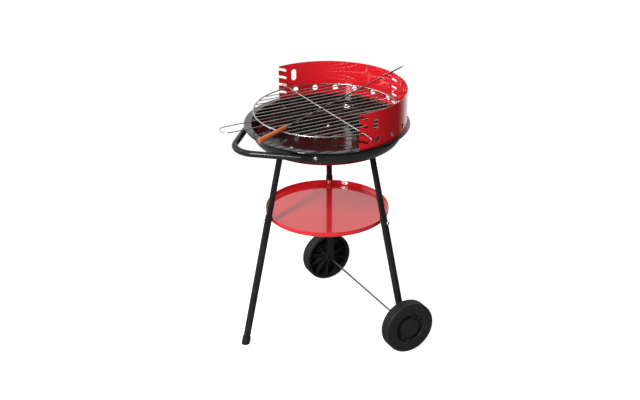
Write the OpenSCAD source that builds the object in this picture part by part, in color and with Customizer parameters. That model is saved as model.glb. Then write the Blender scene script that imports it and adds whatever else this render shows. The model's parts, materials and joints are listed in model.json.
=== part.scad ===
// Round charcoal barbecue on a tripod of tube legs: one leg ends in a foot cap,
// the other two in an axle with wheels. A fire bowl with a two-panel windshield,
// a drop-in wire grid, a tray below, a bent tube to lift it by, and a skewer.
// Millimetres. +Z is up and the front, where the foot and the handle are, is -Y.

/* [Fire bowl] */
// Radius of the bowl at the outer edge of its flange
bowl_r = 215; // [205:1:230]
// Width of the flat flange around the bowl
flange_w = 20; // [18:1:23]
// Height of the top of the flange above the floor
bowl_z = 598; // [580:1:640]
// Depth of the bowl below its flange
bowl_depth = 56; // [52:1:62]
// Run of the bowl's curved side, from its flat floor out to its flange
side_run = 85; // [80:1:92]
// Roundness of the bowl's side: 2 is an ellipse and more is squarer
side_power = 3.1; // [2.8:0.1:3.4]
// Thickness of the bowl's sheet steel
bowl_wall = 1.2; // [1:0.1:2]
// Height of the lip turned down around the flange
lip_h = 4; // [3:0.5:6]

/* [Windshield] */
// Width of flange left outside the windshield
screen_inset = 8; // [7:0.5:11]
// Height of the windshield above the flange
screen_h = 92; // [88:1:110]
// Thickness of the windshield's sheet steel
screen_wall = 1; // [0.8:0.1:1.4]
// Angle from the middle of the back to each front end
screen_span = 98; // [94:1:104]
// Angle by which each panel passes the middle of the back
screen_lap = 4.8; // [4.5:0.1:6]
// Angle by which the windshield and the grid's crossbar are turned around the bowl
screen_turn = 2.5; // [-2.5:0.5:2.5]
// Diameter of the round air holes
vent_d = 15; // [12:0.5:16]
// Height of the air holes' centres above the flange
vent_z = 17; // [12:1:20]
// Angle between neighbouring air holes
vent_pitch = 15.2; // [15:0.1:15.4]
// Width of the upright air slot at each front end
oval_w = 14; // [10:0.5:15]
// Height of the upright air slot at each front end
oval_h = 31; // [26:1:34]
// Height of the upright air slots' centres above the flange
oval_z = 60; // [52:1:66]
// Angle between each front end and its upright air slot
oval_in = 13; // [12.5:0.5:14]

/* [Grid hangers] */
// Height step between two grid positions
level_step = 21; // [19:0.5:22]
// Height of the grid's wire ring above the flange
grid_h = 33; // [30:1:36]
// Width of each hanger notch in the windshield's front ends
notch_w = 6.4; // [6.3:0.1:6.8]
// Distance from a front end to the seat of its notches
seat_in = 21.5; // [20.5:0.5:23]
// Height of the slots at the back of the windshield
slot_h = 6.4; // [6:0.1:7]
// Length of the slots at the back of the windshield
slot_w = 26; // [20:1:28]

/* [Grid] */
// Distance from the windshield in to the middle of the grid's ring wire
ring_gap = 16.5; // [13:0.5:20]
// Diameter of the ring, crossbar and hook wire
ring_wire = 3.4; // [3:0.1:3.5]
// Diameter of the grid's rods and of the wire loop
rod_wire = 2.4; // [2.2:0.1:2.8]
// Distance between two neighbouring rods
rod_pitch = 20.5; // [19.5:0.5:22]
// Depth by which welded wires sink into each other
weld = 0.3; // [0.2:0.05:0.5]
// Reach of the wire loop from the middle of the grid
loop_reach = 300; // [280:1:315]
// Length of the hooks outside the windshield
hook_out = 13; // [11:1:18]
// Drop of the hooks' bent ends
hook_drop = 16; // [12:1:20]

/* [Legs] */
// Splay of the legs from upright, in degrees
splay = 12.3; // [11.5:0.1:13]
// Reach of the legs' axes past the bowl's flange, where they meet the floor
foot_out = 36.5; // [32:0.5:44]
// Outer diameter of the upper leg tubes
upper_d = 16; // [15:0.5:17]
// Wall of all the tubes
tube_wall = 1.2; // [1:0.1:1.5]
// Radial clearance between an upper and a lower leg tube
tube_gap = 0.2; // [0.15:0.05:0.3]
// Depth by which an upper tube enters its lower tube
tube_insert = 45; // [35:1:60]
// Drop from a leg's flat upper end to where its tube starts to flatten
neck_drop = 15; // [12:1:24]
// Width of a flattened tube end
flat_w = 23; // [20:1:25]
// Distance of the legs' bolts in from the edge of the bowl's flat floor
bolt_in = 6.5; // [6.5:0.5:12]
// Outer diameter of the foot cap
cap_d = 22; // [21.5:0.5:25]
// Length of the foot cap along its leg
cap_h = 20; // [16:1:28]
// Thickness of the foot cap's sole
cap_sole = 4; // [3:0.5:6]

/* [Tray] */
// Height of the tray's rim above the floor
tray_z = 357; // [345:1:365]
// Depth of the tray
tray_h = 14; // [13:0.5:18]
// Thickness of the tray's sheet steel
tray_wall = 1; // [0.8:0.1:1.4]
// Radius of the bend between the tray's floor and wall
tray_bend = 5; // [4:0.5:6]
// Diameter of the hanging hole in the tray's wall
hang_d = 8; // [6:0.5:9]
// Direction of the hanging hole around the tray
hang_az = 133; // [125:1:138]

/* [Wheels] */
// Radius of the wheels
wheel_r = 71; // [66:0.5:75]
// Width of the wheels
wheel_w = 32; // [28:0.5:35]
// Distance from the axis of a wheel leg, at the axle, to its wheel
wheel_gap = 8; // [8:0.5:14]
// Diameter of the axle
axle_d = 5; // [4.5:0.1:6]
// Radial running clearance of the wheels on the axle
run_gap = 0.05; // [0.03:0.01:0.08]
// Radius of the hub cap in the middle of each wheel
hub_cap_r = 27; // [24:0.5:28]
// Outer radius of the sunk ring around the hub cap
sunk_r = 41; // [38:0.5:44]
// Depth of the sunk ring
sunk_h = 6; // [4:0.5:7]

/* [Carry handle] */
// Outer diameter of the handle tube
grip_d = 16; // [14:0.5:18]
// Radius of the handle's bend at the middle of the tube
grip_bend = 60; // [50:1:66]
// Drop of the handle's middle below the top of the bowl's flange
grip_drop = 19; // [17:1:22]
// Clearance between the handle's round tube and the side of the bowl
grip_gap = 0.9; // [0.8:0.1:1.6]
// Angle from the front to the screws at the handle's ends
grip_az = 49; // [48:0.5:51]
// Depth of the handle's screws below the top of the bowl's flange
grip_depth = 19; // [17:1:21]
// Length of the handle's flat ends past their screws
grip_tail = 20; // [14:1:24]
// Angle by which the handle is turned around the bowl from above the front leg
grip_turn = 5; // [-6:1:8]

/* [Skewer] */
// Diameter of the skewer's blade
blade_d = 3.6; // [3:0.1:4]
// Diameter of the skewer's wooden handle
wood_d = 13; // [11:0.5:15]
// Length of the skewer's wooden handle
wood_l = 90; // [84:1:104]
// Reach of the wooden handle outside the grid's ring
wood_out = 77; // [70:1:80]
// Reach of the blade past the windshield
blade_out = 44; // [30:1:60]
// Direction in which the handle lies on the grid's ring
skewer_front = 296.5; // [295:0.5:298]
// Direction in which the blade lies on the windshield
skewer_back = 95; // [94.5:0.1:96]

/* [Fasteners] */
// Thread diameter of the screws
screw_d = 5; // [4:0.5:5]
// Radial clearance around the screws in their holes
screw_gap = 0.3; // [0.2:0.05:0.4]
// Diameter of the domed screw heads
head_d = 10; // [9:0.5:11]
// Height of the domed screw heads
head_h = 3; // [2.5:0.1:3.5]
// Width of the hexagon nuts across their flats
nut_af = 8; // [7.5:0.5:9]
// Height of the hexagon nuts
nut_h = 4; // [3:0.5:4.5]

/* [Hidden] */
$fn = 96;
// Clearance between pieces that lie on or beside each other
rest_gap = 0.3;
// Clearance between two faces that are clamped together
seat_gap = 0.05;
// Extra reach of every cutting body
cut = 1;
// Radius of the dome on a screw's head
head_dome = 0.62 * head_d;
// Length of a screw beyond its nut
screw_end = 2.5;
// A bend is this much thicker than its straight tubes, which enter it by bend_in
bend_step = 0.04;
bend_in = 0.3;
// A flattened neck is this much thicker than its tube and thinner than its flat end
neck_step = 0.2;

// Bowl: a round-cornered section below the flange's inner fillet
flange_in_r = bowl_r - flange_w;
floor_r = flange_in_r - side_run;
fillet_r = 3;
edge_r = 2;
curve_h = bowl_depth - fillet_r;

// Legs: the front one and the two that carry the axle
front_az = 270;
right_az = 30;
left_az = 150;
foot_r = bowl_r + foot_out;
lower_d = upper_d + 2 * (tube_wall + tube_gap);
flat_t = 2 * tube_wall + 0.6;
// Height of the underside of the bowl, where the legs' flat ends lie
tab_z = bowl_z - bowl_depth - bowl_wall - seat_gap;
neck_in = 6.5;
leg_bolt_r = floor_r - bolt_in;
neck_r = leg_r(tab_z) - neck_in;
// Distances up a leg's axis: the top of its lower tube, its foot cap's sole and its axle
joint_over = 8;
joint_at = tray_z / cos(splay) + joint_over;
sole_at = cap_sole + 1 + lower_d / 2 * tan(splay);
axle_at = wheel_r / cos(splay);
axle_flat_l = 17;
axle_neck_l = 26;

// Windshield: the right panel lies inside the left one where they lap
screen_r = bowl_r - screen_inset - screen_wall;
oval_span = screen_span - oval_in;
lap_gap = 0.1;
screen_top = bowl_z + screen_h;
end_y = screen_r * cos(screen_span);
seat_y = end_y + seat_in;
tongue_w = 14;
tongue_l = 8;
tongue_step = 0.1;
tongue_az = [14, 42, 76];
lap_screw_scale = 0.6;
lap_screw_l = 8.4;
hole_cut = 12;

// Grid: rods below, ring and crossbar above
grid_z = bowl_z + grid_h;
rod_z = grid_z - (ring_wire + rod_wire) / 2 + weld;
ring_r = screen_r - ring_gap;
rod_n = floor((ring_r - rod_pitch) / rod_pitch);
notch_z = grid_z - ring_wire / 2 - rest_gap + notch_w / 2;
slot_z = rod_z - rod_wire / 2 - rest_gap + slot_h / 2;
levels = [-1, 0, 1, 2];
// Middle line of a hanger notch from its seat: its knee, and its rise at the front end
knee_in = 8;
knee_rise = 4;
notch_rise = 8.6;
lap_z = slot_z + level_step / 2;
peg_r = screen_r + 2 * screen_wall + 2;

// Axle and wheels
axle_z = wheel_r;
axle_y = leg_r(axle_z) * sin(right_az);
leg_x = leg_r(axle_z) * cos(right_az);
washer_t = 1.5;
washer_r = 7;
wheel_x = leg_x + wheel_gap;
hub_r = 12;
clip_r = 8;
clip_t = 1.6;
wheel_edge = 4;
// Walls of a wheel: its tread, its outer face and the web behind the sunk ring
tread_t = 8.5;
face_t = 5;
web_t = 7;
// Thickness of a hub cap's head, and the depth of the hub's end below the outer face
cap_t = 2.5;
boss_drop = 9;
cap_seat_z = wheel_w - cap_t;
cap_wall = 3;
cap_in_r = hub_cap_r - cap_wall;
// Half of what a leaning flat end takes up along the axle, under a washer
lean = asin(cos(right_az) * sin(splay));
flat_half = flat_t / 2 / cos(lean) + washer_r * tan(lean);
hub_out = wheel_gap - flat_half - washer_t - 2 * rest_gap;
boss_z = wheel_w - boss_drop;
axle_half = wheel_x + boss_z + rest_gap + clip_t + 1.2;

// Tray: its rim lies against the inner sides of the legs
leg_half = lower_d / 2 / cos(splay);
tray_r = leg_r(tray_z) - leg_half - rest_gap;
tray_bolt_drop = 6;
tray_bolt_z = tray_z - tray_bolt_drop;
tray_head_r = leg_r(tray_bolt_z) + leg_half + head_d / 2 * tan(splay) + seat_gap;
tray_nut_r = tray_r - tray_wall - rest_gap;
hang_z = tray_bolt_z;

// Handle: two straight sides tangent to the bowl, joined by a right-angled bend
grip_z = bowl_z - grip_drop;
grip_side = max([for (h = [0:0.5:6])
  bowl_out_r(grip_drop - h) + sqrt(pow(grip_d / 2, 2) - h * h)]) + grip_gap;
grip_corner = grip_side / sin(45);
grip_run = grip_side - grip_bend;
grip_taper = 22;
grip_w = 20;
flat_l = grip_w / 2;
// Lean of the bowl's side from upright where the handle is screwed to it
grip_lean = atan(bowl_out_r(grip_depth - 0.5) - bowl_out_r(grip_depth + 0.5));

// Skewer: from the front of the ring up to the windshield's top edge
blade_gap = 0.7;
skew_a = [ring_r * cos(skewer_front), ring_r * sin(skewer_front)];
skew_b = [screen_r * cos(skewer_back), screen_r * sin(skewer_back)];
skew_run = norm(skew_b - skew_a);
skew_az = atan2(skew_b[1] - skew_a[1], skew_b[0] - skew_a[0]);
// Radius of the tapered wooden handle where it lies on the ring
wood_taper = 0.84;
wood_at_r = wood_d / 2 * (1 - (1 - wood_taper) * wood_out / wood_l);
rise = screen_top + blade_d / 2 - grid_z - ring_wire / 2 - wood_at_r;
skew_z = grid_z + ring_wire / 2 + (wood_at_r + rest_gap) / cos(atan2(rise, skew_run));
skew_top_z = screen_top + (blade_d / 2 + blade_gap) / cos(atan2(rise, skew_run));
skew_tilt = atan2(skew_top_z - skew_z, skew_run);
skew_len = skew_run / cos(skew_tilt) + blade_out;
tip_y = skew_a[1] + skew_len * cos(skew_tilt) * sin(skew_az);

tang_l = 20;
ferrule_l = 9;
// The diameters of the ferrule's ends, as shares of the handle's
ferrule_taper = [0.62, 0.45];

// The origin is on the floor, in the middle between the loop and the skewer's tip
base_y = (loop_reach - max(tip_y, bowl_r)) / 2;

// Distance of a leg's axis from the bowl's axis at height z
function leg_r(z) = foot_r - z * tan(splay);
// Radius of the bowl's outer wall at depth d below the flange's top
function bowl_out_r(d) =
  floor_r + (flange_in_r - floor_r + bowl_wall)
  * pow(1 - pow((d - fillet_r) / (curve_h + bowl_wall), side_power), 1 / side_power);
// Points of an arc
function arc(c, r, a0, a1, n = 6) =
  [for (i = [0:n]) let (a = a0 + (a1 - a0) * i / n) c + r * [cos(a), sin(a)]];
// One skin of the bowl, at depth g into its sheet, from the axis to the lip's end
function bowl_skin(g) = concat(
  [[0, -bowl_depth - g]],
  [for (i = [0:18]) let (a = 90 * (1 - i / 18), p = 2 / side_power)
    [floor_r + (flange_in_r - floor_r + g) * pow(cos(a), p), -fillet_r - (curve_h + g) * pow(sin(a), p)]],
  arc([flange_in_r + fillet_r, -fillet_r], fillet_r - g, 180, 90),
  arc([bowl_r - edge_r, -edge_r], edge_r - g, 90, 0),
  [[bowl_r - g, -lip_h]]);
// One skin of the tray, at depth g into its sheet, from the axis to the rim
function tray_skin(g) = concat(
  [[0, g]],
  arc([tray_r - tray_bend, tray_bend], tray_bend - g, -90, 0),
  [[tray_r - g, tray_h]]);
function reversed(p) = [for (i = [len(p) - 1:-1:0]) p[i]];

// Puts the bowl's axis at its place in the part's frame
module placed() { translate([0, base_y, 0]) children(); }
// Puts the windshield, and what hangs in it, at their place and turned around the bowl
module hung() { placed() at_az(screen_turn) children(); }
// Turns to a direction around the bowl's axis
module at_az(az) { rotate([0, 0, az]) children(); }
// Along a leg's axis, starting where it meets the floor
module on_leg(az) { at_az(az) translate([foot_r, 0, 0]) rotate([0, -splay, 0]) children(); }
// Along the axle's direction, at the axle's height
module on_axle(x = 0) { translate([x, axle_y, axle_z]) rotate([0, 90, 0]) children(); }
// Along the outward radius at a direction, radius and height
module radial(az, r, z) { at_az(az) translate([r, 0, z]) rotate([0, 90, 0]) children(); }
// Along the skewer, starting over the grid's ring
module on_skewer() {
  translate([skew_a[0], skew_a[1], skew_z]) rotate([0, 90 - skew_tilt, skew_az]) children();
}

module pipe(d, wall, h) {
  difference() {
    cylinder(d = d, h = h);
    translate([0, 0, -cut]) cylinder(d = d - 2 * wall, h = h + 2 * cut);
  }
}
// A domed screw along +Z: its head sits on z = 0 and its shank reaches down
module screw(len) {
  intersection() {
    cylinder(d = head_d, h = head_h);
    translate([0, 0, head_h - head_dome]) sphere(r = head_dome);
  }
  translate([0, 0, -len]) cylinder(d = screw_d, h = len + 0.5);
}
// A hexagon nut on its screw
module nut() {
  difference() {
    cylinder(d = nut_af / cos(30), h = nut_h, $fn = 6);
    translate([0, 0, -cut]) cylinder(r = screw_d / 2 + seat_gap, h = nut_h + 2 * cut);
  }
}
module screw_hole(h) { cylinder(r = screw_d / 2 + screw_gap, h = h, center = true); }

// ---- Fire bowl ----
module fire_bowl() {
  color("#1a1a1c") placed() difference() {
    translate([0, 0, bowl_z]) rotate_extrude()
      polygon(concat(bowl_skin(0), reversed(bowl_skin(bowl_wall))));
    for (az = [front_az, left_az, right_az])
      at_az(az) translate([leg_bolt_r, 0, bowl_z - bowl_depth]) screw_hole(3 * bowl_wall + 2);
    for (s = [-1, 1]) grip_seat(s) rotate([0, 90, 0]) screw_hole(hole_cut);
    at_az(screen_turn) for (s = [-1, 1], a = tongue_az) tongue(s, a, rest_gap);
  }
}

// ---- Windshield ----
// A tongue through the flange, on side s of the middle of the back, grown by g
module tongue(s, a, g = 0) {
  r = screen_r + (s < 0 ? screen_wall + lap_gap : 0);
  w = (tongue_w + 2 * g) / screen_r * 180 / PI;
  at_az(90 - s * a - w / 2) translate([0, 0, bowl_z - tongue_l - g]) rotate_extrude(angle = w)
    translate([r + tongue_step - g, 0])
    square([screen_wall - 2 * tongue_step + 2 * g, tongue_l + g + cut]);
}
// One straight run of a notch between two points of its middle line
module notch_run(p, q) {
  d = q - p;
  translate(p) rotate(atan2(d[1], d[0])) translate([0, -notch_w / 2]) square([norm(d), notch_w]);
}
// A hanger notch in the plane of y and z: it falls inwards from the end to its seat
module notch() {
  knee = [-knee_in, knee_rise];
  mouth = [-seat_in, notch_rise];
  far = mouth + (mouth - knee) / 2;
  circle(d = notch_w + neck_step);
  translate(knee) circle(d = notch_w + neck_step);
  notch_run([0, 0], knee);
  notch_run(knee, far);
}
// The four hanger notches of one front end
module notches() {
  for (k = levels) translate([seat_y, notch_z + k * level_step]) notch();
}
// The side view that a panel is trimmed to: its front corners are round
module panel_side() {
  low_r = 6;
  top_r = 5;
  translate([end_y + low_r, bowl_z]) square([2 * bowl_r, screen_h]);
  translate([end_y, bowl_z + low_r]) square([2 * low_r, screen_h - low_r - top_r]);
  translate([end_y + top_r, screen_top - 2 * top_r]) square([2 * low_r, 2 * top_r]);
  translate([end_y + low_r, bowl_z + low_r]) circle(r = low_r);
  translate([end_y + top_r, screen_top - top_r]) circle(r = top_r);
}
// An upright slot with round ends, centred, cut along +Z
module obround(w, h, depth) {
  linear_extrude(height = depth, center = true) {
    square([w, h - w], center = true);
    for (s = [-1, 1]) translate([0, s * (h - w) / 2]) circle(d = w);
  }
}
// The panel on side s: 1 is the right one, which lies inside the lap
module panel(s) {
  r = screen_r + (s < 0 ? screen_wall + lap_gap : 0);
  spare = 4;
  first = s > 0 ? 90 - screen_span - spare : 90 - screen_lap;
  difference() {
    intersection() {
      at_az(first) translate([0, 0, bowl_z - cut])
        rotate_extrude(angle = screen_span + screen_lap + spare)
        translate([r, 0]) square([screen_wall, screen_h + 2 * cut]);
      translate([-bowl_r, 0, 0]) rotate([90, 0, 90]) linear_extrude(height = 2 * bowl_r) panel_side();
    }
    translate([s * screen_r - hole_cut, 0, 0]) rotate([90, 0, 90])
      linear_extrude(height = 2 * hole_cut) notches();
    for (k = [-0.5:1:5.5]) radial(90 - s * k * vent_pitch, screen_r, bowl_z + vent_z)
      cylinder(d = vent_d, h = hole_cut, center = true);
    radial(90 - s * oval_span, screen_r, bowl_z + oval_z) rotate([0, 0, 90])
      obround(oval_w, oval_h, hole_cut);
    for (k = levels) radial(90, screen_r, slot_z + k * level_step)
      obround(slot_h, slot_w, hole_cut);
    radial(90, screen_r, lap_z) screw_hole(hole_cut);
  }
  for (a = tongue_az) tongue(s, a);
}
module windshield_left() { color("#c41420") hung() panel(-1); }
module windshield_right() { color("#c8151f") hung() panel(1); }
module lap_screw() {
  color("#c9cacc") hung()
    radial(90, screen_r + 2 * screen_wall + lap_gap + seat_gap, lap_z)
      scale(lap_screw_scale) screw(lap_screw_l / lap_screw_scale);
}
module lap_nut() {
  color("#c9cacc") hung()
    radial(90, screen_r - seat_gap, lap_z) rotate([180, 0, 0]) scale(lap_screw_scale) nut();
}

// ---- Legs ----
module upper_leg(az) {
  top = (tab_z - neck_drop) / cos(splay);
  color("#242527") placed() at_az(az) difference() {
    union() {
      on_leg(0) translate([0, 0, joint_at - tube_insert])
        pipe(upper_d, tube_wall, top - joint_at + tube_insert);
      hull() {
        on_leg(0) translate([0, 0, top - 1]) cylinder(d = upper_d + neck_step, h = 2, $fn = 32);
        translate([neck_r - 1, (neck_step - flat_w) / 2, tab_z - flat_t + neck_step / 2])
          cube([2, flat_w - neck_step, flat_t - neck_step]);
      }
      translate([leg_bolt_r, -flat_w / 2, tab_z - flat_t]) cube([neck_r - leg_bolt_r, flat_w, flat_t]);
      translate([leg_bolt_r, 0, tab_z - flat_t]) cylinder(d = flat_w, h = flat_t);
    }
    translate([leg_bolt_r, 0, tab_z]) screw_hole(4 * flat_t);
    radial(0, leg_r(tray_bolt_z), tray_bolt_z) screw_hole(2 * lower_d);
  }
}
module lower_tube(az, from) {
  on_leg(az) translate([0, 0, from]) pipe(lower_d, tube_wall, joint_at - from);
}
module lower_leg_front() {
  color("#242527") placed() difference() {
    lower_tube(front_az, sole_at);
    radial(front_az, leg_r(tray_bolt_z), tray_bolt_z) screw_hole(2 * lower_d);
  }
}
// A wheel leg: its lower end is flattened square to the axle and bored for it
module wheel_leg(az) {
  turn = atan2(-sin(az), cos(az) * cos(splay));
  color("#242527") placed() difference() {
    union() {
      lower_tube(az, axle_at + axle_flat_l + axle_neck_l + 1);
      on_leg(az) translate([0, 0, axle_at + axle_flat_l]) hull() {
        translate([0, 0, axle_neck_l]) cylinder(d = lower_d + neck_step, h = 2, $fn = 32);
        rotate([0, 0, turn]) cube([flat_t - neck_step, flat_w - neck_step, 2], center = true);
      }
      on_leg(az) translate([0, 0, axle_at]) rotate([0, 0, turn]) {
        translate([-flat_t / 2, -flat_w / 2, 0]) cube([flat_t, flat_w, axle_flat_l]);
        rotate([0, 90, 0]) cylinder(d = flat_w, h = flat_t, center = true);
      }
    }
    on_axle(az == right_az ? leg_x : -leg_x)
      cylinder(r = axle_d / 2 + screw_gap, h = 2 * flat_w, center = true);
    radial(az, leg_r(tray_bolt_z), tray_bolt_z) screw_hole(2 * lower_d);
  }
}
module foot_cap() {
  over = cap_d / 2 * tan(splay);
  color("#101112") placed() difference() {
    on_leg(front_az) translate([0, 0, -over - 2]) cylinder(d = cap_d, h = cap_h + over + 2);
    on_leg(front_az) translate([0, 0, sole_at - rest_gap])
      cylinder(r = lower_d / 2 + seat_gap, h = cap_h + cut);
    translate([-cap_d, -foot_r - 2 * cap_d, -cap_d]) cube([2 * cap_d, 4 * cap_d, cap_d]);
  }
}
module leg_bolts() {
  color("#c9cacc") placed() for (az = [front_az, left_az, right_az])
    at_az(az) translate([leg_bolt_r, 0, bowl_z - bowl_depth + rest_gap])
      screw(bowl_wall + flat_t + nut_h + screw_end);
}
module leg_nuts() {
  color("#c9cacc") placed() for (az = [front_az, left_az, right_az])
    at_az(az) translate([leg_bolt_r, 0, tab_z - flat_t - seat_gap - nut_h]) nut();
}

// ---- Tray ----
module tray() {
  color("#c8151f") placed() difference() {
    translate([0, 0, tray_z - tray_h]) rotate_extrude()
      polygon(concat(tray_skin(0), reversed(tray_skin(tray_wall))));
    for (az = [front_az, left_az, right_az]) radial(az, tray_r, tray_bolt_z) screw_hole(hole_cut);
    radial(hang_az, tray_r, hang_z) cylinder(d = hang_d, h = hole_cut, center = true);
  }
}
module tray_bolts() {
  color("#c9cacc") placed() for (az = [front_az, left_az, right_az])
    radial(az, tray_head_r, tray_bolt_z) screw(tray_head_r - tray_nut_r + nut_h + screw_end);
}
module tray_nuts() {
  color("#c9cacc") placed() for (az = [front_az, left_az, right_az])
    radial(az, tray_nut_r - nut_h, tray_bolt_z) nut();
}

// ---- Axle and wheels ----
module axle() {
  color("#5c5e60") placed() on_axle(-axle_half) cylinder(d = axle_d, h = 2 * axle_half);
}
module axle_washers() {
  color("#8f9194") placed() for (s = [-1, 1])
    translate([s * (wheel_x - hub_out - rest_gap - washer_t / 2), 0, 0]) on_axle() difference() {
      cylinder(r = washer_r, h = washer_t, center = true);
      cylinder(r = axle_d / 2 + seat_gap, h = 2 * washer_t, center = true);
    }
}
module axle_clips() {
  color("#8f9194") placed() for (s = [-1, 1])
    translate([s * (wheel_x + boss_z + rest_gap + clip_t / 2), 0, 0]) on_axle() difference() {
      cylinder(r = clip_r, h = clip_t, center = true);
      cylinder(r = axle_d / 2 + seat_gap, h = 2 * clip_t, center = true);
    }
}
// A wheel along +Z, with its inner side on z = 0
module wheel() {
  rim_in = wheel_r - tread_t;
  face_in = wheel_w - face_t;
  web_z = wheel_w - sunk_h - web_t;
  groove = 1.2;
  rib = 3;
  outer_rib = 2.4;
  difference() {
    union() {
      rotate_extrude() polygon(concat(
        [[axle_d / 2 + run_gap, -hub_out], [hub_r, -hub_out], [hub_r, web_z], [sunk_r - 3, web_z],
          [sunk_r + 3, face_in], [rim_in - 2, face_in], [rim_in, face_in - 2], [rim_in, 0]],
        arc([wheel_r - wheel_edge, wheel_edge], wheel_edge, -90, 0),
        arc([wheel_r - wheel_edge, wheel_w - wheel_edge], wheel_edge, 0, 90),
        [[sunk_r + 0.6, wheel_w], [sunk_r, wheel_w - 0.6], [sunk_r, wheel_w - sunk_h],
          [hub_cap_r, wheel_w - sunk_h], [hub_cap_r, cap_seat_z], [cap_in_r, cap_seat_z],
          [cap_in_r, boss_z], [axle_d / 2 + run_gap, boss_z]]));
      for (i = [0:9]) rotate([0, 0, 36 * i])
        translate([hub_r - 1, -rib / 2, 3]) cube([rim_in - hub_r + 2, rib, web_z - 2]);
      for (i = [0:11]) rotate([0, 0, 30 * i])
        translate([hub_cap_r - 1, -outer_rib / 2, wheel_w - sunk_h - 1])
          cube([sunk_r - hub_cap_r + 2, outer_rib, sunk_h - 2]);
    }
    for (z = [0.3, 0.5, 0.7]) translate([0, 0, z * wheel_w]) rotate_extrude()
      translate([wheel_r - groove, -groove]) square([2 * groove, 2 * groove]);
  }
}
// The cap plugged into a wheel's outer side
module hub_cap() {
  rotate_extrude() polygon(concat(
    [[0, cap_seat_z + seat_gap], [cap_in_r - 2, cap_seat_z + seat_gap], [cap_in_r - 2, boss_z + rest_gap],
      [cap_in_r - seat_gap, boss_z + rest_gap], [cap_in_r - seat_gap, cap_seat_z + seat_gap],
      [hub_cap_r, cap_seat_z + seat_gap]],
    arc([hub_cap_r - 1, wheel_w - 1], 1, 0, 90), [[0, wheel_w]]));
}
// Puts a wheel or its cap on side s of the axle
module on_side(s) { on_axle() rotate([0, s > 0 ? 0 : 180, 0]) translate([0, 0, wheel_x]) children(); }
module wheel_left() { color("#26282a") placed() on_side(-1) wheel(); }
module wheel_right() { color("#26282a") placed() on_side(1) wheel(); }
module hub_cap_left() { color("#202224") placed() on_side(-1) hub_cap(); }
module hub_cap_right() { color("#202224") placed() on_side(1) hub_cap(); }

// ---- Carry handle ----
// Side s of the handle: +Z runs back along the tube from its tangent point on the bowl,
// and +X points away from the bowl
module handle_side(s) {
  at_az(front_az + grip_turn + s * 45) translate([grip_side, 0, grip_z]) rotate([-s * 90, 0, 0]) children();
}
// On the bowl's side where end s of the handle is screwed to it: +X is the outward normal
module grip_seat(s) {
  at_az(front_az + grip_turn + s * grip_az)
    translate([bowl_out_r(grip_depth), 0, bowl_z - grip_depth])
    rotate([0, grip_lean, 0]) children();
}
// The round part of the handle: its bend and its two straight runs, of diameter d
module grip_path(d) {
  rotate([0, 0, grip_turn]) translate([0, -grip_corner + grip_bend / sin(45), grip_z]) rotate([0, 0, 225])
    rotate_extrude(angle = 90) translate([grip_bend, 0]) circle(d = d + bend_step);
  for (s = [-1, 1]) handle_side(s) translate([0, 0, -grip_run - bend_in])
    cylinder(d = d, h = grip_run + bend_in - grip_taper);
}
module carry_handle() {
  slit = flat_t - 2 * tube_wall;
  color("#1d1e20") placed() difference() {
    union() {
      grip_path(grip_d);
      for (s = [-1, 1]) {
        hull() {
          handle_side(s) translate([0, 0, -grip_taper - 0.5])
            cylinder(d = grip_d + neck_step, h = 1, $fn = 32);
          grip_seat(s) translate([rest_gap + neck_step / 2, -s * flat_l - 1, (neck_step - grip_w) / 2])
            cube([flat_t - neck_step, 2, grip_w - neck_step]);
        }
        grip_seat(s) mirror([0, s > 0 ? 0 : 1, 0]) translate([rest_gap, -flat_l, -grip_w / 2])
          cube([flat_t, flat_l + grip_tail, grip_w]);
      }
    }
    grip_path(grip_d - 2 * tube_wall);
    for (s = [-1, 1]) {
      hull() {
        handle_side(s) translate([0, 0, -grip_taper - 1.5])
          cylinder(d = grip_d - 2 * tube_wall - neck_step, h = 1, $fn = 32);
        grip_seat(s) translate([rest_gap + tube_wall, -s * flat_l, tube_wall - grip_w / 2])
          cube([slit, 1, grip_w - 2 * tube_wall]);
      }
      grip_seat(s) mirror([0, s > 0 ? 0 : 1, 0])
        translate([rest_gap + tube_wall + 0.02, -flat_l - 1, tube_wall + 0.05 - grip_w / 2])
        cube([slit - 0.04, flat_l + grip_tail + 2, grip_w - 2 * tube_wall - 0.1]);
      grip_seat(s) rotate([0, 90, 0]) screw_hole(3 * grip_d);
    }
  }
}
module handle_screws() {
  color("#c9cacc") placed() for (s = [-1, 1]) grip_seat(s)
    translate([rest_gap + flat_t + seat_gap, 0, 0]) rotate([0, 90, 0])
      screw(flat_t + bowl_wall + nut_h + screw_end);
}
module handle_nuts() {
  color("#c9cacc") placed() for (s = [-1, 1]) grip_seat(s)
    translate([-bowl_wall - nut_h - rest_gap, 0, 0]) rotate([0, 90, 0]) nut();
}

// ---- Grid ----
function half_chord(x) = sqrt(pow(ring_r, 2) - pow(x, 2));
module wire_y(x, y0, y1, d, z) {
  translate([x, y0, z]) rotate([-90, 0, 0]) cylinder(d = d, h = y1 - y0, $fn = 32);
}
module grid_ring() {
  color("#b9bbbd") placed() translate([0, 0, grid_z]) rotate_extrude()
    translate([ring_r, 0]) circle(d = ring_wire, $fn = 32);
}
module grid_rods() {
  color("#a9abad") placed() {
    wire_y(0, -ring_r, peg_r, rod_wire, rod_z);
    for (k = [2:rod_n], s = [-1, 1])
      wire_y(s * k * rod_pitch, -half_chord(k * rod_pitch), half_chord(k * rod_pitch), rod_wire, rod_z);
  }
}
module grid_crossbar() {
  x = sqrt(pow(ring_r, 2) - pow(seat_y, 2)) - ring_wire / 2 + weld;
  color("#b9bbbd") hung() translate([-x, seat_y, grid_z]) rotate([0, 90, 0])
    cylinder(d = ring_wire, h = 2 * x, $fn = 32);
}
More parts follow.
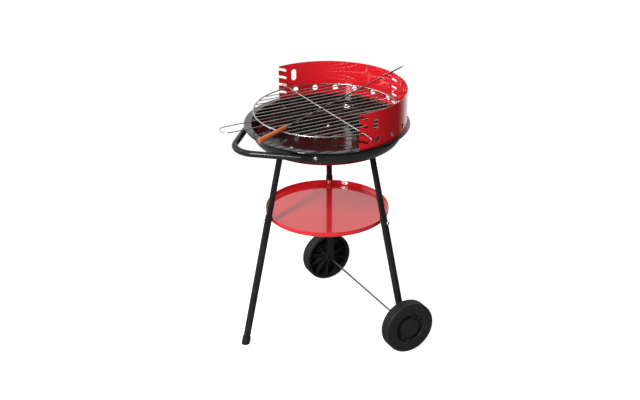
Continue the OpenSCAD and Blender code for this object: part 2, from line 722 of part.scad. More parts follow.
module grid_hooks() {
  x0 = sqrt(pow(ring_r, 2) - pow(seat_y, 2)) + ring_wire / 2 - weld;
  x1 = screen_r + hook_out;
  bend = 7;
  color("#b9bbbd") hung() for (s = [0, 1]) mirror([s, 0, 0]) translate([0, seat_y, grid_z]) {
    translate([x0, 0, 0]) rotate([0, 90, 0]) cylinder(d = ring_wire, h = x1 - x0 + bend_in, $fn = 32);
    translate([x1, 0, -bend]) rotate([90, 0, 0]) rotate_extrude(angle = 90)
      translate([bend, 0]) circle(d = ring_wire + bend_step, $fn = 32);
    translate([x1 + bend, 0, -hook_drop])
      cylinder(d = ring_wire, h = hook_drop - bend + bend_in, $fn = 32);
  }
}
module grid_handle() {
  y = loop_reach - rod_wire / 2 - rod_pitch;
  color("#b9bbbd") placed() {
    for (s = [-1, 1]) wire_y(s * rod_pitch, -y, half_chord(rod_pitch), rod_wire, rod_z);
    translate([0, -y, rod_z]) rotate([0, 0, 180]) rotate_extrude(angle = 180)
      translate([rod_pitch, 0]) circle(d = rod_wire, $fn = 32);
  }
}

// ---- Skewer ----
module skewer_blade() {
  point = 14;
  tang_z = wood_l - wood_out - tang_l;
  color("#9a9c9e") placed() on_skewer() {
    translate([0, 0, tang_z]) cylinder(d = blade_d, h = skew_len - point - tang_z);
    translate([0, 0, skew_len - point]) cylinder(d1 = blade_d, d2 = 0.6, h = point);
  }
}
module skewer_ferrule() {
  color("#8c8d80") placed() on_skewer() translate([0, 0, wood_l - wood_out + seat_gap]) difference() {
    cylinder(d1 = ferrule_taper[0] * wood_d, d2 = ferrule_taper[1] * wood_d, h = ferrule_l);
    translate([0, 0, -cut]) cylinder(r = blade_d / 2 + seat_gap, h = ferrule_l + 2 * cut);
  }
}
module skewer_handle() {
  round = 1.5;
  color("#c4602a") placed() on_skewer() difference() {
    translate([0, 0, -wood_out]) rotate_extrude() polygon(concat([[0, 0]],
      arc([wood_d / 2 - round, round], round, -90, 0),
      arc([wood_taper * wood_d / 2 - round, wood_l - round], round, 0, 90), [[0, wood_l]]));
    translate([0, 0, wood_l - wood_out - tang_l - seat_gap])
      cylinder(r = blade_d / 2 + seat_gap, h = tang_l + cut);
  }
}

fire_bowl();
windshield_left();
windshield_right();
lap_screw();
lap_nut();
upper_leg(front_az);  // upper_leg_front
upper_leg(left_az);  // upper_leg_left
upper_leg(right_az);  // upper_leg_right
lower_leg_front();
wheel_leg(left_az);  // lower_leg_left
wheel_leg(right_az);  // lower_leg_right
leg_bolts();
leg_nuts();
tray();
tray_bolts();
tray_nuts();
foot_cap();
axle();
axle_washers();
axle_clips();
wheel_left();
wheel_right();
hub_cap_left();
hub_cap_right();
carry_handle();
handle_screws();
handle_nuts();
grid_ring();
grid_rods();
grid_crossbar();
grid_hooks();
grid_handle();
skewer_blade();
skewer_ferrule();
skewer_handle();
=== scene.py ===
# A round charcoal barbecue on wheels: camera, light, materials, and the pieces that need more
# than their solids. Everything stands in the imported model's frame, in metres.
import bpy, bmesh, json, math
import numpy as np
from mathutils import Matrix, Vector, geometry


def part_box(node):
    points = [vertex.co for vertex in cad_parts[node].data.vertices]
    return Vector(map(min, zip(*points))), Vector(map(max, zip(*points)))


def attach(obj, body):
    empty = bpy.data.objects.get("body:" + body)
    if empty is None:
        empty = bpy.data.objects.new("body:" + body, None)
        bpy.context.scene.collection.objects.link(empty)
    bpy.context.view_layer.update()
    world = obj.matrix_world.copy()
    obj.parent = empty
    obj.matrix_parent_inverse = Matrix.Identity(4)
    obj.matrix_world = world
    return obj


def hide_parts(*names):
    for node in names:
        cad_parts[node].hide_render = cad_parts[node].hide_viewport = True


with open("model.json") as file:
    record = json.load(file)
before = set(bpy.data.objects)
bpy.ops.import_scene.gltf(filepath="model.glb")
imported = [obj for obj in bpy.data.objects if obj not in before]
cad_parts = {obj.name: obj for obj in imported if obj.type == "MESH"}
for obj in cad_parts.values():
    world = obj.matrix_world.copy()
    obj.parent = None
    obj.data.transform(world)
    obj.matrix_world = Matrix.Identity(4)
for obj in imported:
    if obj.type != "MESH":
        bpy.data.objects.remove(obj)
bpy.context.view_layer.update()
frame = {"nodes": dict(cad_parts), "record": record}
NODES = frame["nodes"]
MM = 0.001


def link(obj):
    bpy.context.scene.collection.objects.link(obj)


# ---------------------------------------------------------------- camera
def add_camera(place, azimuth, pitch, roll, lens):
    """A camera at a place, looking along an azimuth (from +Y, clockwise) and down by pitch."""
    a, p, r = (math.radians(v) for v in (azimuth, pitch, roll))
    ahead = Vector((math.sin(a) * math.cos(p), math.cos(a) * math.cos(p), -math.sin(p)))
    side = Vector((math.cos(a), -math.sin(a), 0.0))
    up = side.cross(ahead)
    right = side * math.cos(r) + up * math.sin(r)
    top = up * math.cos(r) - side * math.sin(r)
    data = bpy.data.cameras.new("camera")
    data.lens = lens
    data.sensor_width = 36.0
    data.clip_end = 100.0
    cam = bpy.data.objects.new("camera", data)
    turn = Matrix((right, top, -ahead)).transposed().to_4x4()
    turn.translation = place
    cam.matrix_world = turn
    link(cam)
    bpy.context.scene.camera = cam


# ---------------------------------------------------------------- shader nodes
class Tree:
    """The node tree of a material or world under construction."""

    def __init__(self, owner):
        owner.use_nodes = True
        self.tree = owner.node_tree
        self.tree.nodes.clear()

    def put(self, node, key, value):
        """Links an input when the value is a socket, and otherwise sets it."""
        if isinstance(value, bpy.types.NodeSocket):
            self.tree.links.new(value, node.inputs[key])
        else:
            node.inputs[key].default_value = value

    def node(self, kind, *inputs, **named):
        """A node with its inputs given in order, or by name with _ for a space."""
        n = self.tree.nodes.new(kind)
        for i, value in enumerate(inputs):
            self.put(n, i, value)
        for key, value in named.items():
            self.put(n, key.replace("_", " "), value)
        return n

    def math(self, op, a, b):
        n = self.node("ShaderNodeMath", a, b)
        n.operation = op
        return n.outputs[0]

    def value(self, fac, low, high, at=(0.3, 0.7), smooth=False):
        """A number that runs from low to high as fac crosses a band."""
        n = self.node("ShaderNodeMapRange", Value=fac, From_Min=at[0], From_Max=at[1],
                      To_Min=low, To_Max=high)
        if smooth:
            n.interpolation_type = "SMOOTHSTEP"
        return n.outputs[0]


class Paint(Tree):
    """A material made of one Principled shader, in the object's own coordinates."""

    def __init__(self, name):
        self.mat = bpy.data.materials.new(name)
        super().__init__(self.mat)
        self.bsdf = self.node("ShaderNodeBsdfPrincipled")
        self.node("ShaderNodeOutputMaterial", self.bsdf.outputs[0])
        self.coord = self.node("ShaderNodeTexCoord").outputs["Object"]

    def set(self, **inputs):
        for key, value in inputs.items():
            self.put(self.bsdf, key.replace("_", " "), value)

    def scaled(self, scale, rotate=(0, 0, 0)):
        """Object coordinates, turned and then scaled along each axis."""
        turn = self.node("ShaderNodeMapping", Vector=self.coord, Rotation=rotate)
        return self.node("ShaderNodeMapping", Vector=turn.outputs[0], Scale=scale).outputs[0]

    def noise(self, scale, detail, rough, vector=None):
        n = self.node("ShaderNodeTexNoise", Vector=vector or self.coord, Scale=scale,
                      Detail=detail, Roughness=rough)
        return n.outputs["Fac"]

    def ramp(self, fac, stops):
        """A colour taken from stops, each a place and a colour."""
        n = self.node("ShaderNodeValToRGB", fac)
        ramp = n.color_ramp
        while len(ramp.elements) < len(stops):
            ramp.elements.new(1.0)
        for element, (place, colour) in zip(ramp.elements, stops):
            element.position = place
            element.color = (*colour, 1.0)
        return n.outputs[0]

    def mix(self, fac, a, b):
        """A colour between a and b, each a colour or a socket."""
        n = self.node("ShaderNodeMix", fac)
        n.data_type = "RGBA"
        for i, colour in ((6, a), (7, b)):
            is_socket = isinstance(colour, bpy.types.NodeSocket)
            self.put(n, i, colour if is_socket else (*colour, 1.0))
        return n.outputs[2]

    def bump(self, height, depth, over=None):
        """A normal from a height, on top of another normal where one is given."""
        n = self.node("ShaderNodeBump", Height=height, Distance=depth, Strength=1.0)
        if over is not None:
            self.put(n, "Normal", over)
        return n.outputs[0]

    def up(self, vector):
        return self.node("ShaderNodeSeparateXYZ", Vector=vector).outputs[2]


# ---------------------------------------------------------------- materials
def enamel(name, deep, pale, rough, coat, gloss=0.15, dull_below=None):
    """Glossy enamel on sheet steel: faint clouds of tone, dark specks, rubs and an orange peel.

    Faces that look up below the height dull_below have lost most of their gloss.
    """
    p = Paint(name)
    clouds = p.noise(9.0, 3.0, 0.6)
    specks = p.noise(900.0, 1.0, 0.4)
    rubs = p.noise(60.0, 4.0, 0.7, p.scaled((1.0, 1.0, 9.0)))
    tone = p.mix(p.value(clouds, 0.0, 1.0), deep, pale)
    dark = tuple(0.55 * c for c in deep)
    p.set(Base_Color=p.mix(p.value(specks, 0.0, 0.35, (0.66, 0.74)), tone, dark),
          Roughness=p.value(rubs, rough, rough * 2.2, (0.45, 0.75)),
          Specular_IOR_Level=gloss, Coat_Weight=coat, Coat_Roughness=0.03, Coat_IOR=1.5)
    if dull_below is not None:
        level = p.math("ADD", p.up(p.coord), p.math("MULTIPLY", clouds, 0.006))
        normal = p.node("ShaderNodeNewGeometry").outputs["Normal"]
        level = p.math("ADD", level, p.math("LESS_THAN", p.up(normal), 0.0))
        band = (dull_below - 0.004, dull_below + 0.008)
        p.set(Coat_Weight=p.value(level, 0.12 * coat, coat, band))
    peel = 0.04 * MM
    fine = p.bump(p.noise(260.0, 2.0, 0.5), peel)
    p.set(Normal=p.bump(p.noise(14.0, 1.0, 0.5), 8 * peel, over=fine))
    return p.mat


def tube_paint(name, colour, rough):
    """Semi-gloss paint on tube: dust in patches, rub marks along Z and a fine texture."""
    p = Paint(name)
    dust = p.noise(22.0, 4.0, 0.65)
    rub = p.noise(120.0, 3.0, 0.7, p.scaled((1.0, 1.0, 0.12)))
    grey = tuple(1.9 * c for c in colour)
    p.set(Base_Color=p.mix(p.value(dust, 0.0, 1.0, (0.45, 0.8)), colour, grey),
          Roughness=p.value(rub, rough * 0.8, rough * 1.35),
          Specular_IOR_Level=0.12, Coat_Weight=0.21, Coat_Roughness=0.06,
          Normal=p.bump(p.noise(300.0, 2.0, 0.5), 0.01 * MM))
    return p.mat


def plastic(name, colour, rough):
    """Moulded plastic: pale scuffs, a softly uneven gloss and a fine grain."""
    p = Paint(name)
    scuff = p.noise(70.0, 5.0, 0.75)
    pale = tuple(1.8 * c + 0.006 for c in colour)
    p.set(Base_Color=p.mix(p.value(scuff, 0.0, 1.0, (0.52, 0.8)), colour, pale),
          Roughness=p.value(p.noise(30.0, 3.0, 0.6), rough * 0.88, rough * 1.1),
          Specular_IOR_Level=0.25, Normal=p.bump(p.noise(1800.0, 2.0, 0.6), 0.04 * MM))
    return p.mat


def metal(name, colour, dull, rough, stretch=(1.0, 1.0, 1.0)):
    """Bare or plated steel: drawing lines, which a low stretch lengthens, and dull patches."""
    p = Paint(name)
    lines = p.noise(700.0, 2.0, 0.6, p.scaled(stretch))
    patch = p.noise(35.0, 4.0, 0.7)
    both = p.math("ADD", p.math("MULTIPLY", lines, 0.5), p.math("MULTIPLY", patch, 0.5))
    p.set(Base_Color=p.mix(p.value(patch, 0.0, 1.0, (0.42, 0.78)), colour, dull), Metallic=1.0,
          Roughness=p.value(both, rough * 0.7, rough * 1.5), Normal=p.bump(lines, 0.01 * MM))
    return p.mat


def wood(name, along, stops):
    """Varnished wood: its grain is drawn out along the handle and takes its colours from stops."""
    p = Paint(name)
    turn = Vector((0, 0, 1)).rotation_difference(Vector(along)).inverted().to_euler()
    lined = p.scaled((1.0, 1.0, 0.06), tuple(turn))
    grain = p.noise(420.0, 5.0, 0.7, lined)
    broad = p.noise(90.0, 2.0, 0.5, lined)
    both = p.math("ADD", p.math("MULTIPLY", grain, 0.6), p.math("MULTIPLY", broad, 0.4))
    p.set(Base_Color=p.ramp(both, stops), Roughness=p.value(grain, 0.28, 0.45),
          Coat_Weight=0.5, Coat_Roughness=0.12, Normal=p.bump(grain, 0.08 * MM))
    return p.mat


ALONG_X, ALONG_Y = (0.05, 1.0, 1.0), (1.0, 0.05, 1.0)
WOOD_STOPS = ((0.30, (0.15, 0.026, 0.006)), (0.46, (0.34, 0.068, 0.012)),
              (0.62, (0.46, 0.105, 0.018)), (0.8, (0.54, 0.16, 0.035)))


def make_materials():
    """The object's materials, under the names of their slots; the rods' wire is one more, a paler
    copy of the grid's wire that paints a highlight on the rods.
    """
    made = {}

    def make(kind, name, *looks, **more):
        made[name] = kind(name, *looks, **more)

    bowl_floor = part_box("fire_bowl")[0][2] + 5 * MM
    make(enamel, "black_enamel", (0.004, 0.004, 0.004), (0.007, 0.007, 0.007), 0.2, 0.95,
         gloss=0.05, dull_below=bowl_floor)
    make(enamel, "red_enamel", (0.56, 0.008, 0.014), (0.61, 0.011, 0.018), 0.15, 0.9)
    make(enamel, "red_tray", (0.60, 0.010, 0.015), (0.65, 0.013, 0.019), 0.15, 1.0)
    make(tube_paint, "black_tube", (0.0095, 0.0096, 0.0092), 0.4)
    make(plastic, "foot_plastic", (0.011, 0.011, 0.011), 0.5)
    make(plastic, "wheel_plastic", (0.0125, 0.0127, 0.013), 0.55)
    make(plastic, "cap_plastic", (0.0115, 0.0117, 0.012), 0.5)
    make(metal, "bright_screw", (0.92, 0.92, 0.93), (0.74, 0.74, 0.74), 0.4)
    make(metal, "axle_steel", (0.17, 0.17, 0.175), (0.10, 0.10, 0.10), 0.42, ALONG_X)
    make(metal, "grid_wire", (0.50, 0.49, 0.46), (0.34, 0.32, 0.29), 0.28, ALONG_Y)
    # The rods' wire is a paler copy of grid_wire, though the rods are the same wire as the ring:
    # painted highlight on the rods
    make(metal, "rod_wire", (0.78, 0.77, 0.74), (0.55, 0.53, 0.50), 0.34, ALONG_Y)
    make(metal, "skewer_steel", (0.27, 0.26, 0.23), (0.17, 0.16, 0.13), 0.3, ALONG_Y)
    make(metal, "ferrule_steel", (0.34, 0.35, 0.28), (0.22, 0.22, 0.18), 0.35)
    middle, end = (sum((Vector(c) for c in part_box(n)), Vector()) / 2
                   for n in ("skewer_blade", "skewer_handle"))
    make(wood, "handle_wood", middle - end, WOOD_STOPS)
    return made


def dress_nodes(materials):
    """Gives each node of the frame the material of its slot, and the grid's rods a paler copy of
    the grid's wire, which paints a highlight on them.
    """
    for part in frame["record"]["subparts"]:
        slot = "rod_wire" if part["node"] == "grid_rods" else part["material_slot"]
        slots = NODES[part["node"]].data.materials
        slots.clear()
        slots.append(materials[slot])


# ---------------------------------------------------------------- meshes
class Shape:
    """A mesh under construction, in millimetres."""

    def __init__(self):
        self.verts, self.faces = [], []

    def add(self, place, verts, faces):
        base = len(self.verts)
        self.verts += [place @ Vector(v) for v in verts]
        self.faces += [tuple(base + i for i in f) for f in faces]

    def revolve(self, place, rings, count, closed=True):
        """Turns a profile round +Z. Each ring is (radius, height), or gives that for a step."""
        n = len(rings)
        verts = []
        for i in range(count):
            for ring in rings:
                r, h = ring(i) if callable(ring) else ring
                verts.append((*on_circle(r, i, count), h))
        faces = []
        for i in range(count):
            j = (i + 1) % count
            for k in range(n if closed else n - 1):
                m = (k + 1) % n
                faces.append((i * n + k, j * n + k, j * n + m, i * n + m))
        self.add(place, verts, faces)

    def wedge(self, place, run, low, tops, halves):
        """A rib along a radius: its two ends, base height, top heights and half widths."""
        (r0, r1), (top0, top1), (base, top) = run, tops, halves
        verts = ((r0, -base, low), (r1, -base, low), (r1, base, low), (r0, base, low),
                 (r0, -top, top0), (r1, -top, top1), (r1, top, top1), (r0, top, top0))
        self.add(place, verts, ((0, 3, 2, 1), (4, 5, 6, 7), (0, 1, 5, 4), (1, 2, 6, 5),
                                (2, 3, 7, 6), (3, 0, 4, 7)))

    def bead(self, middle, radii):
        """A small rounded lump of weld metal."""
        rx, ry, rz = radii
        rows, count = 6, 12
        verts = [(0, 0, -rz)]
        for k in range(1, rows):
            e = math.pi * k / rows - math.pi / 2
            for i in range(count):
                x, y = on_circle(math.cos(e), i, count)
                verts.append((rx * x, ry * y, rz * math.sin(e)))
        verts.append((0, 0, rz))
        faces = []
        for i in range(count):
            j = (i + 1) % count
            faces.append((0, 1 + j, 1 + i))
            for k in range(rows - 2):
                a, b = 1 + k * count, 1 + (k + 1) * count
                faces.append((a + i, a + j, b + j, b + i))
            a = 1 + (rows - 2) * count
            faces.append((a + i, a + j, len(verts) - 1))
        self.add(Matrix.Translation(middle), verts, faces)

    def piece(self, name, slot, material, body, *nodes, sharp):
        """Makes the object, which rides on a body and may stand for CAD nodes.

        Edges sharper than an angle in degrees show as edges.
        """
        mesh = bpy.data.meshes.new(name)
        mesh.from_pydata([v * MM for v in self.verts], [], self.faces)
        bm = bmesh.new()
        bm.from_mesh(mesh)
        bmesh.ops.remove_doubles(bm, verts=bm.verts, dist=1e-6)
        bmesh.ops.recalc_face_normals(bm, faces=bm.faces)
        bm.to_mesh(mesh)
        bm.free()
        mesh.shade_smooth()
        mesh.set_sharp_from_angle(angle=math.radians(sharp))
        mesh.materials.append(material)
        obj = bpy.data.objects.new(name, mesh)
        link(obj)
        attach(obj, body)
        if nodes:
            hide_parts(*nodes)


def on_circle(radius, step, count):
    a = 2 * math.pi * step / count
    return radius * math.cos(a), radius * math.sin(a)


def box_mm(node):
    """A node's lowest and highest corner, in millimetres."""
    return [Vector(corner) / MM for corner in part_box(node)]


def frame_at(origin, along):
    """A place whose +Z runs along a direction."""
    turn = Vector((0, 0, 1)).rotation_difference(Vector(along)).to_matrix().to_4x4()
    return Matrix.Translation(Vector(origin)) @ turn


def round_edge(r, h, radius, start, end):
    """A profile's arc about the point (r, h), between two angles."""
    steps = 5
    angles = [math.radians(start + (end - start) * i / steps) for i in range(steps + 1)]
    return [(r + radius * math.cos(a), h + radius * math.sin(a)) for a in angles]


# ---------------------------------------------------------------- wheels
# In millimetres, as all sizes of the scene's own pieces are
WHEEL_W = 32
TREAD_T = 8.5
EDGE_R = 4
BORE_R = 2.55
HUB_R = 12
SUNK_R = 41
# Heights above the wheel's inner side: of the web's and the outer face's inner surfaces, of the
# sunk ring's floor and of the hub cap's seat
WEB_Z, FACE_Z, SUNK_Z, CAP_SEAT_Z = 19, 27, 24.5, WHEEL_W - 2.5
# Roundings: of small edges, of the web's and rim's corners; half the width of the wall between
# the web and the outer face, and the thickness of the wall round the hub cap
BREAK, BEVEL, WALL_HALF, CAP_WALL = 0.6, 2, 3, 3
CAP_GAP = 0.2
# Where each land of the tread begins and ends, and the cuts across it
LANDS = ((4.6, 7.8), (9.2, 12.8), (14.2, 17.8), (19.2, 22.8), (24.2, 27.4))
GROOVE = 1.3
GROOVE_DRAFT = 0.25
CUT = 0.6
CUT_EVERY = 3
WHEEL_STEPS = 390
SPOKES, RIBS = 10, 12


def tread(radius):
    """The profile of the tread, from its inner to its outer edge, with slanted cuts."""
    def cut(height, shift):
        return lambda i: (radius - (CUT if (i + shift) % CUT_EVERY == 0 else 0), height)

    rings = round_edge(radius - EDGE_R, EDGE_R, EDGE_R, -90, 0)
    for k, (low, high) in enumerate(LANDS):
        if k:
            rings += [(radius - GROOVE, LANDS[k - 1][1] + GROOVE_DRAFT),
                      (radius - GROOVE, low - GROOVE_DRAFT)]
        rings += [cut(low, 0), cut(high, 1 if k % 2 else -1)]
    return rings + round_edge(radius - EDGE_R, WHEEL_W - EDGE_R, EDGE_R, 0, 90)


def wheel(side, material):
    """A moulded wheel: grooved tread, ten spokes inside and a sunk ring with ribs outside."""
    node, body = ("wheel_right", "right_wheel") if side > 0 else ("wheel_left", "left_wheel")
    lo, hi = box_mm(node)
    cap_lo, cap_hi = box_mm("hub_cap_right" if side > 0 else "hub_cap_left")
    radius = (hi.z - lo.z) / 2
    rim = radius - TREAD_T
    hub = (hi.x - lo.x) - WHEEL_W
    cap_r = (cap_hi.z - cap_lo.z) / 2
    boss = WHEEL_W - (cap_hi.x - cap_lo.x) - CAP_GAP
    inner = hi.x - WHEEL_W if side > 0 else lo.x + WHEEL_W
    place = frame_at((inner, (lo.y + hi.y) / 2, (lo.z + hi.z) / 2), (side, 0, 0))
    # The hub, the web, the outer face's inner side and the rim
    rings = [(BORE_R, -hub), (HUB_R - BREAK, -hub), (HUB_R, BREAK - hub),
             (HUB_R, WEB_Z - BEVEL), (HUB_R + BEVEL, WEB_Z),
             (SUNK_R - WALL_HALF, WEB_Z), (SUNK_R + WALL_HALF, FACE_Z),
             (rim - BEVEL, FACE_Z), (rim, FACE_Z - BEVEL), (rim, BREAK), (rim + BREAK, 0)]
    rings += tread(radius)
    # The sunk ring with its rounded corners, and the hub cap's seat
    rings += [(SUNK_R + 0.8, WHEEL_W), (SUNK_R + 0.2, WHEEL_W - 0.3), (SUNK_R, WHEEL_W - 0.8),
              (SUNK_R - 0.6, SUNK_Z + 1.5), (SUNK_R - 2, SUNK_Z),
              (cap_r + 1, SUNK_Z), (cap_r, SUNK_Z + 1), (cap_r, CAP_SEAT_Z),
              (cap_r - CAP_WALL, CAP_SEAT_Z), (cap_r - CAP_WALL, boss), (BORE_R, boss)]
    shape = Shape()
    shape.revolve(place, rings, WHEEL_STEPS)
    spokes = dict(run=(HUB_R - 1, rim + 0.8), low=WEB_Z + 2, tops=(6, 9), halves=(1.9, 1.1))
    ribs = dict(run=(cap_r - 0.6, SUNK_R + 0.8), low=SUNK_Z - 1, tops=(WHEEL_W - 4.5,) * 2,
                halves=(1.5, 0.9))
    for count, sizes in ((SPOKES, spokes), (RIBS, ribs)):
        for i in range(count):
            shape.wedge(place @ Matrix.Rotation(2 * math.pi * i / count, 4, "Z"), **sizes)
    shape.piece(node + "_moulded", "wheel_plastic", material, body, node, sharp=28.0)


# ---------------------------------------------------------------- screws
def islands(mesh):
    """The separate bodies of a mesh, each as a list of its different points.

    The mesh's faces may have points of their own, so points are told apart by where they are.
    """
    spots = {}
    spot_of = [spots.setdefault(tuple(round(c / MM, 3) for c in v.co), len(spots))
               for v in mesh.vertices]
    parent = list(range(len(spots)))

    def root(i):
        while parent[i] != i:
            parent[i] = parent[parent[i]]
            i = parent[i]
        return i

    for e in mesh.edges:
        a, b = (root(spot_of[i]) for i in e.vertices)
        parent[a] = b
    groups = {}
    for place, spot in spots.items():
        groups.setdefault(root(spot), []).append(place)
    return [groups[k] for k in sorted(groups)]


def screw_axis(points):
    """A screw's place, with +Z from its shank's end to its head, then the heights of the head's
    underside and top, and the radii of the head and shank."""
    pts = np.array(points)

    def measure(origin, axis):
        """Each point's height along the axis, its distance from it, and whether it's a head's."""
        t = (pts - origin) @ axis
        r = np.linalg.norm((pts - origin) - np.outer(t, axis), axis=1)
        return t, r, r > 0.9 * r.max()

    # A first axis: the direction whose spread differs most from the other two
    mid = pts.mean(axis=0)
    spread, ways = np.linalg.eigh(np.cov((pts - mid).T))
    axis = ways[:, 0 if spread[1] - spread[0] > spread[2] - spread[1] else 2]
    t, r, at_head = measure(mid, axis)
    if t[at_head].mean() < (t.min() + t.max()) / 2:
        axis = -axis
        t, r, at_head = measure(mid, axis)
    # The ring at the shank's end and the one under the head, each within this height, give it
    # exactly
    step = 0.3
    end = pts[t < t.min() + step].mean(axis=0)
    under = pts[at_head & (t < t[at_head].min() + step)].mean(axis=0)
    axis = (under - end) / np.linalg.norm(under - end)
    t, r, at_head = measure(end, axis)
    base = t[r > 0.97 * r.max()].min()
    return frame_at(end, axis), base, t.max(), r.max(), np.median(r[t < base - step])


THREAD_PITCH = 0.8
THREAD_DEPTH = 0.32
THREAD_TURNS = 7
END_CHAMFER = 0.5
EDGE_BREAK = 0.15
# The share of a head's height below its dome, and the dome's steps
HEAD_SIDE = 0.25
DOME_STEPS = 6
SCREW_STEPS = 48
# The flat top's radius and the recess's arms, as shares of the head's radius; the recess's depth
# as a share of the head's height, and its arms' size at the bottom as a share of that at the top
HEAD_FLAT = 0.62
ARM_HALF, ARM_LENGTH = 0.13, 0.5
RECESS_DEPTH, RECESS_DRAFT = 0.5, 0.72


def cross_recess(head, top, height):
    """The points and faces of a head's flat top with a cross-shaped recess."""
    rim = [(*on_circle(HEAD_FLAT * head, i, SCREW_STEPS), top) for i in range(SCREW_STEPS)]
    w, l = ARM_HALF * head, ARM_LENGTH * head
    arms = ((w, w), (w, l), (-w, l), (-w, w), (-l, w), (-l, -w),
            (-w, -w), (-w, -l), (w, -l), (w, -w), (l, -w), (l, w))
    mouth = [(x, y, top) for x, y in arms]
    floor = top - RECESS_DEPTH * height
    bottom = [(RECESS_DRAFT * x, RECESS_DRAFT * y, floor) for x, y in arms]
    faces = geometry.tessellate_polygon([[Vector(v) for v in loop] for loop in (rim, mouth)])
    first, n = len(rim), len(arms)
    second = first + n
    faces += [(first + i, first + (i + 1) % n, second + (i + 1) % n, second + i)
              for i in range(n)]
    faces.append(tuple(second + i for i in (0, 3, 6, 9)))
    faces += [tuple(second + (k + i) % n for i in range(4)) for k in (0, 3, 6, 9)]
    return rim + mouth + bottom, faces


def cross_screws(node, material):
    """Pan-head screws with a cross recess and a threaded end, in the places of a node's screws."""
    shape = Shape()
    for points in islands(NODES[node].data):
        place, base, top, head, shank = screw_axis(points)
        height = top - base
        tip = shank - END_CHAMFER
        rings = [(tip, 0.0)]
        for k in range(THREAD_TURNS):
            rings += [(shank, THREAD_PITCH * (k + 0.5)),
                      (shank - THREAD_DEPTH, THREAD_PITCH * (k + 1))]
        rings += [(shank, THREAD_PITCH * (THREAD_TURNS + 0.5)), (shank, base),
                  (head - EDGE_BREAK, base), (head, base + EDGE_BREAK),
                  (head, base + HEAD_SIDE * height)]
        for k in range(1, DOME_STEPS + 1):
            a = math.pi / 2 * k / DOME_STEPS
            rings.append((head * (HEAD_FLAT + (1 - HEAD_FLAT) * math.cos(a)),
                          base + height * (HEAD_SIDE + (1 - HEAD_SIDE) * math.sin(a))))
        shape.revolve(place, rings, SCREW_STEPS, closed=False)
        shape.add(place, *cross_recess(head, top, height))
        disc = [(*on_circle(tip, i, SCREW_STEPS), 0.0) for i in range(SCREW_STEPS)]
        shape.add(place, disc, [tuple(range(SCREW_STEPS))])
    shape.piece(node + "_cross", "bright_screw", material, "stand", node, sharp=30.0)


# ---------------------------------------------------------------- welds
ROD_PITCH = 20.5
RODS_EACH_SIDE = 8
# Half sizes of a bead across its rod and in height, at the ring and at the crossbar
RING_BEAD, BAR_BEAD = (1.9, 0.75), (1.8, 0.7)


def grid_welds(material):
    """Small beads where the rods are welded to the ring and to the crossbar."""
    (lo, hi), rods, (bar_lo, bar_hi) = (
        box_mm(n) for n in ("grid_ring", "grid_rods", "grid_crossbar"))
    wire_r = (hi.z - lo.z) / 2
    mid_y = (lo.y + hi.y) / 2
    ring_r = (hi.y - lo.y) / 2 - wire_r
    z = (rods[1].z + lo.z) / 2
    slope = (bar_hi.y - bar_lo.y - 2 * wire_r) / (bar_hi.x - bar_lo.x)
    bar_y = (bar_lo.y + bar_hi.y) / 2
    shape = Shape()
    for k in range(-RODS_EACH_SIDE, RODS_EACH_SIDE + 1):
        x = ROD_PITCH * k
        reach = math.sqrt(ring_r ** 2 - x ** 2)
        for way in (-1, 1):
            # Longer beads where the rod meets the ring at a slant, and no two quite alike
            spread = 1.6 + 0.5 * abs(x) / ring_r + 0.15 * math.sin(7.1 * k + way)
            shape.bead((x, mid_y + way * reach, z), (RING_BEAD[0], spread, RING_BEAD[1]))
        spread = 1.9 + 0.2 * math.cos(5.3 * k)
        shape.bead((x, bar_y + slope * x, z), (BAR_BEAD[0], spread, BAR_BEAD[1]))
    shape.piece("grid_welds", "grid_wire", material, "grid", sharp=60.0)


def add_pieces(materials):
    for side in (-1, 1):
        wheel(side, materials["wheel_plastic"])
    for node in ("handle_screws", "tray_bolts", "leg_bolts", "lap_screw"):
        cross_screws(node, materials["bright_screw"])
    grid_welds(materials["grid_wire"])


# ---------------------------------------------------------------- stage
# From the object to the open side of the studio, where the room is darker than the backdrop
OPEN_SIDE = (0.96, -0.12, -0.25)
WHITE = (1, 1, 1, 1)


class Stage(Tree):
    """Nodes that show one thing to the eye and another in reflections and as light."""

    def seen(self):
        """1 for what the eye sees, straight or through glass."""
        path = self.node("ShaderNodeLightPath").outputs
        return self.math("MAXIMUM", path["Is Camera Ray"], path["Is Transmission Ray"])

    def mirrored(self):
        """1 for what a glossy surface reflects."""
        return self.node("ShaderNodeLightPath").outputs["Is Glossy Ray"]

    def background(self, strength):
        return self.node("ShaderNodeBackground", WHITE, strength).outputs[0]

    def diffuse(self, grey):
        return self.node("ShaderNodeBsdfDiffuse", (grey, grey, grey, 1)).outputs[0]

    def mixed(self, fac, low, high):
        return self.node("ShaderNodeMixShader", fac, low, high).outputs[0]


def add_world(fill, dark):
    """White to the eye and in reflections of the backdrop, darker in reflections of the room; an
    even fill for the rest."""
    world = bpy.data.worlds.new("world")
    t = Stage(world)
    way = t.node("ShaderNodeTexCoord").outputs["Generated"]
    dot = t.node("ShaderNodeVectorMath", way, OPEN_SIDE)
    dot.operation = "DOT_PRODUCT"
    room = t.value(dot.outputs["Value"], dark, 1.0, at=(-0.05, -0.6), smooth=True)
    shade = t.mixed(t.mirrored(), t.background(fill), t.background(room))
    t.node("ShaderNodeOutputWorld", t.mixed(t.seen(), shade, t.background(1.0)))
    bpy.context.scene.world = world


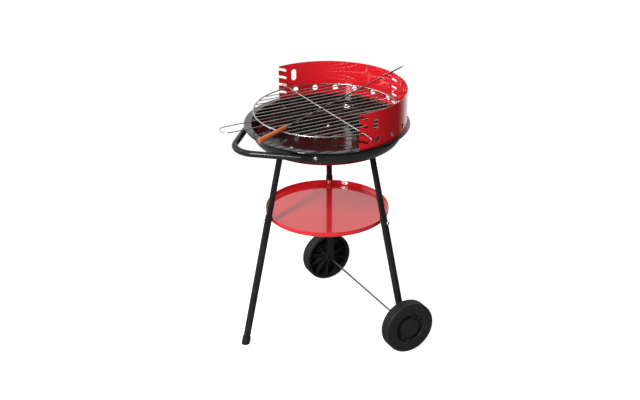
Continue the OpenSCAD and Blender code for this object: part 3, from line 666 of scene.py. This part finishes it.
def add_floor(radius, colour, mirror, lift):
    """A pale round floor with the object's shadow, which its glow lifts to white for the eye, and
    which is darker in reflections."""
    mesh = bpy.data.meshes.new("floor")
    bm = bmesh.new()
    bmesh.ops.create_circle(bm, cap_ends=True, segments=128, radius=radius)
    bm.to_mesh(mesh)
    bm.free()
    floor = bpy.data.objects.new("floor", mesh)
    floor.location.z = -0.2 * MM
    link(floor)
    mat = bpy.data.materials.new("floor")
    t = Stage(mat)
    body = t.mixed(t.mirrored(), t.diffuse(colour), t.diffuse(mirror))
    glow = t.node("ShaderNodeEmission", WHITE, t.math("MULTIPLY", t.seen(), lift)).outputs[0]
    both = t.node("ShaderNodeAddShader", body, glow).outputs[0]
    t.node("ShaderNodeOutputMaterial", both)
    mesh.materials.append(mat)


LAMP_DISTANCE = 3.0
LAMP_AIM = Vector((0.0, 0.0, 0.4))


def add_lamp(name, azimuth, rise, size, power):
    """A soft rectangular lamp. Its azimuth runs from -Y towards +X, and its rise is above the
    point that it aims at."""
    a, e = math.radians(azimuth), math.radians(rise)
    way = Vector((math.sin(a) * math.cos(e), -math.cos(a) * math.cos(e), math.sin(e)))
    data = bpy.data.lights.new(name, "AREA")
    data.shape = "RECTANGLE"
    data.size, data.size_y = size
    data.energy = power
    lamp = bpy.data.objects.new(name, data)
    lamp.location = LAMP_AIM + way * LAMP_DISTANCE
    lamp.rotation_euler = (-way).to_track_quat("-Z", "Y").to_euler()
    link(lamp)


# ---------------------------------------------------------------- scene
bpy.context.scene.view_settings.view_transform = "Standard"
add_camera(place=(2.64590, -1.37786, 1.79431), azimuth=-62.411, pitch=25.399, roll=-0.348,
           lens=70.02)
add_world(fill=0.38, dark=0.03)
add_floor(radius=1.15, colour=0.6, mirror=0.3, lift=0.78)
add_lamp("key", azimuth=28.5, rise=33.0, size=(0.45, 1.5), power=113.0)
add_lamp("fill", azimuth=-30.0, rise=30.0, size=(1.8, 1.8), power=24.0)
MATERIALS = make_materials()
dress_nodes(MATERIALS)
add_pieces(MATERIALS)
